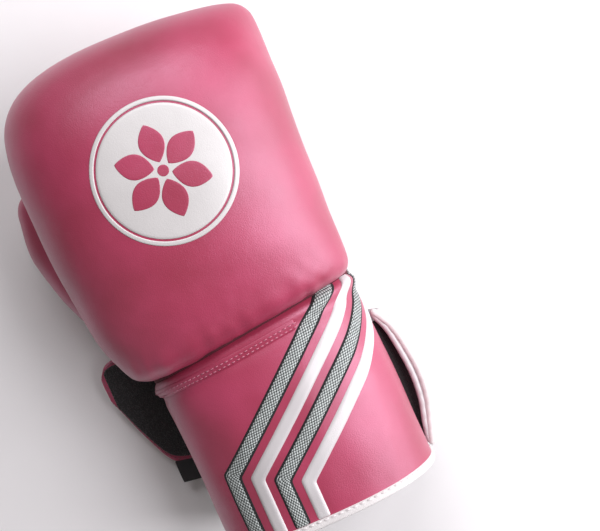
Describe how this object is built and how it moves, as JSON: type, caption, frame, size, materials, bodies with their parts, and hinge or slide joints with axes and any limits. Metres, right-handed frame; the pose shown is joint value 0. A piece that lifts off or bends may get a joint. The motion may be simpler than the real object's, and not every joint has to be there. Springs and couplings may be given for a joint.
{
  "type": "boxing glove",
  "caption": "Padded right-hand boxing glove with a locked thumb, mesh palm, long padded cuff and a hook-and-loop wrist strap.",
  "frame": {"origin": "centre of the bounding box's floor, with the glove lying palm down", "axes": "+Y from the cuff's mouth to the knuckles, +Z out of the back of the hand, +X towards the little finger's side"},
  "size_m": [0.1818, 0.2914, 0.1264],
  "materials": {
    "pink_leather": "smooth semi-gloss coated leather, fine grain",
    "white_leather": "smooth coated leather",
    "binding_tape": "woven bias tape",
    "white_mesh": "open spacer mesh",
    "grey_mesh": "printed woven mesh",
    "hook_and_loop": "hook or loop pile",
    "black_webbing": "woven tape",
    "lining_cloth": "brushed lining",
    "foam": "closed-cell foam, unfinished",
    "gel": "soft gel, glossy",
    "plastic": "bare sheet plastic"
  },
  "bodies": {
    "glove": {"fist_shell": "pink_leather", "palm_mesh_panel": "white_mesh", "palm_heel_patch": "pink_leather", "heel_patch_piping": "binding_tape", "knuckle_foam_outer": "foam", "knuckle_gel_pad": "gel", "knuckle_foam_inner": "foam", "finger_roll_foam": "foam", "finger_wall_foam": "foam", "palm_foam": "foam", "hand_lining": "lining_cloth", "grip_bar": "foam", "emblem_disc": "white_leather", "emblem_ring": "white_leather", "emblem_rosette": "pink_leather", "wrist_welt": "pink_leather", "cuff_back_panel": "pink_leather", "cuff_back_foam": "foam", "cuff_back_lining": "lining_cloth", "wrist_splint_thumb_side": "plastic", "wrist_splint_little_side": "plastic", "cuff_back_binding": "binding_tape", "chevron_mesh_front": "grey_mesh", "chevron_white_front": "white_leather", "chevron_mesh_rear": "grey_mesh", "chevron_white_rear": "white_leather", "strap_gusset": "black_webbing", "thumb_tether": "pink_leather"},
    "thumb": {"thumb_shell_outer": "pink_leather", "thumb_shell_inner": "pink_leather", "thumb_foam": "foam", "thumb_lining": "lining_cloth"},
    "thumb_wing": {"thumb_wing_panel": "white_leather", "thumb_wing_foam": "foam", "thumb_wing_lining": "lining_cloth", "thumb_wing_binding": "binding_tape", "loop_patch": "hook_and_loop"},
    "little_wing": {"little_wing_panel": "white_leather", "little_wing_foam": "foam", "little_wing_lining": "lining_cloth", "little_wing_binding": "binding_tape"},
    "strap": {"strap": "white_leather"},
    "strap_tip": {"strap_tip": "pink_leather", "hook_patch": "hook_and_loop", "pull_tab": "black_webbing"}
  },
  "joints": [
    {"name": "thumb_flex", "type": "hinge", "parent": "glove", "child": "thumb", "pos_m": [-0.03742, -0.01868, 0.04], "axis": [0, 0, 1], "range_deg": [-2, 5]},
    {"name": "strap_root", "type": "hinge", "parent": "glove", "child": "strap", "pos_m": [0.08508, -0.09668, 0.036], "axis": [0, -1, 0], "range_deg": [0, 110]},
    {"name": "strap_tip", "type": "hinge", "parent": "strap", "child": "strap_tip", "pos_m": [-0.01592, -0.06968, 0.0002], "axis": [0, -1, 0], "range_deg": [0, 90]},
    {"name": "thumb_wing_open", "type": "hinge", "parent": "glove", "child": "thumb_wing", "pos_m": [-0.04842, -0.08968, 0.034], "axis": [0, 1, 0], "range_deg": [0, 12]},
    {"name": "little_wing_open", "type": "hinge", "parent": "glove", "child": "little_wing", "pos_m": [0.08208, -0.08968, 0.034], "axis": [0, -1, 0], "range_deg": [0, 12]}
  ],
  "couplings": [
    {"joint": "thumb_wing_open", "follows": "strap_root", "ratio": 0.1},
    {"joint": "little_wing_open", "follows": "strap_root", "ratio": 0.1}
  ]
}
